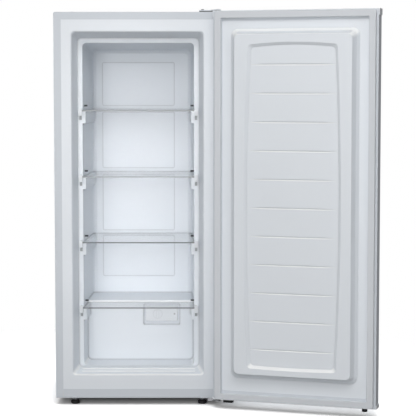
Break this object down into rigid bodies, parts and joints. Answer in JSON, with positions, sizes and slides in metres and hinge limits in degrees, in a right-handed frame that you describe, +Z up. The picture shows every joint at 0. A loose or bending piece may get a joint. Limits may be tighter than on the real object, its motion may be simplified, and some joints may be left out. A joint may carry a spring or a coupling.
{
  "type": "upright freezer",
  "caption": "Small white upright freezer with one hinged door, stepped inner liner, slide-out glass shelves, dial thermostat and levelling feet.",
  "frame": {"origin": "on the floor plane, at the middle of the underside of the front foot by the hinge (the front right one), all four feet down", "axes": "+Z up, -Y out of the cabinet's front where the door closes, +X towards the hinge side as seen from the front, which is the viewer's right"},
  "size_m": [1.0596, 0.7047, 1.3146],
  "materials": {
    "white_steel": "smooth gloss white powder coat",
    "white_liner": "vacuum formed white polystyrene",
    "white_plastic": "moulded white plastic",
    "door_seal": "soft white vinyl seal",
    "shelf_glass": "clear toughened glass with a polished edge",
    "insulation": "rigid foam, pale yellow",
    "zinc_steel": "zinc plated sheet",
    "black_plastic": "black moulded plastic",
    "black_rubber": "black rubber",
    "black_steel": "black painted drawn steel",
    "copper_tube": "drawn copper",
    "aluminium_plate": "bare aluminium",
    "screw_steel": "zinc plated screws"
  },
  "bodies": {
    "cabinet": {"outer_shell": "white_steel", "front_rail": "white_steel", "bottom_panel": "zinc_steel", "back_panel": "white_steel", "bay_panel": "zinc_steel", "base_tray": "zinc_steel", "liner": "white_liner", "cabinet_foam": "insulation", "evaporator_plate": "aluminium_plate", "foot_brackets": "zinc_steel", "rear_feet": "black_plastic", "compressor": "black_steel", "compressor_grommets": "black_rubber", "compressor_bolts": "screw_steel", "relay_cover": "black_plastic", "filter_drier": "copper_tube", "discharge_pipe": "copper_tube", "suction_pipe": "copper_tube", "thermostat_housing": "white_plastic", "thermostat_body": "zinc_steel", "thermostat_screws": "screw_steel", "shelf_pegs": "black_plastic", "hinge_top_plate": "white_steel", "hinge_top_shim": "black_plastic", "hinge_top_pin": "zinc_steel", "hinge_top_screws": "screw_steel", "hinge_bottom_bracket": "zinc_steel", "hinge_bottom_pin": "zinc_steel", "hinge_bottom_screws": "screw_steel", "hinge_hole_plugs": "white_plastic"},
    "door": {"door_panel": "white_steel", "door_liner": "white_liner", "door_foam": "insulation", "door_gasket": "door_seal", "door_cap_top": "white_plastic", "door_cap_bottom": "white_plastic", "hinge_bush_top": "black_plastic", "hinge_bush_bottom": "black_plastic", "door_stop": "black_plastic", "door_plug": "black_plastic"},
    "thermostat_dial": {"thermostat_knob": "white_plastic", "thermostat_shaft": "white_plastic"},
    "shelf_1": {"shelf_glass_1": "shelf_glass", "shelf_caps_1": "white_plastic"},
    "shelf_2": {"shelf_glass_2": "shelf_glass", "shelf_caps_2": "white_plastic"},
    "shelf_3": {"shelf_glass_3": "shelf_glass", "shelf_caps_3": "white_plastic"},
    "shelf_4": {"shelf_glass_4": "shelf_glass", "shelf_caps_4": "white_plastic"},
    "foot_pad_left": {"foot_pad_left": "black_plastic"},
    "foot_stud_left": {"foot_stud_left": "zinc_steel"},
    "foot_pad_right": {"foot_pad_right": "black_plastic"},
    "foot_stud_right": {"foot_stud_right": "zinc_steel"}
  },
  "joints": [
    {"name": "door_hinge", "type": "hinge", "parent": "cabinet", "child": "door", "pos_m": [0.051, -0.063, 0.665], "axis": [0, 0, 1], "range_deg": [-162.3, 7.7]},
    {"name": "thermostat_turn", "type": "hinge", "parent": "cabinet", "child": "thermostat_dial", "pos_m": [-0.154, 0.1564, 0.2805], "axis": [0, -1, 0], "range_deg": [-140, 140]},
    {"name": "shelf_1_slide", "type": "slide", "parent": "cabinet", "child": "shelf_1", "axis": [0, -1, 0], "range_m": [0, 0.14]},
    {"name": "shelf_2_slide", "type": "slide", "parent": "cabinet", "child": "shelf_2", "axis": [0, -1, 0], "range_m": [0, 0.33]},
    {"name": "shelf_3_slide", "type": "slide", "parent": "cabinet", "child": "shelf_3", "axis": [0, -1, 0], "range_m": [0, 0.33]},
    {"name": "shelf_4_slide", "type": "slide", "parent": "cabinet", "child": "shelf_4", "axis": [0, -1, 0], "range_m": [0, 0.33]},
    {"name": "foot_left_slide", "type": "slide", "parent": "cabinet", "child": "foot_pad_left", "axis": [0, 0, -1], "range_m": [0, 0.01]},
    {"name": "foot_left_turn", "type": "hinge", "parent": "foot_pad_left", "child": "foot_stud_left", "pos_m": [-0.426, 0, 0.02], "axis": [0, 0, 1], "range_deg": [0, 2881]},
    {"name": "foot_right_slide", "type": "slide", "parent": "cabinet", "child": "foot_pad_right", "axis": [0, 0, -1], "range_m": [0, 0.01]},
    {"name": "foot_right_turn", "type": "hinge", "parent": "foot_pad_right", "child": "foot_stud_right", "pos_m": [0, 0, 0.02], "axis": [0, 0, 1], "range_deg": [0, 2881]}
  ],
  "couplings": [
    {"joint": "foot_left_turn", "follows": "foot_left_slide", "rad_per_m": 5026.5},
    {"joint": "foot_right_turn", "follows": "foot_right_slide", "rad_per_m": 5026.5}
  ]
}
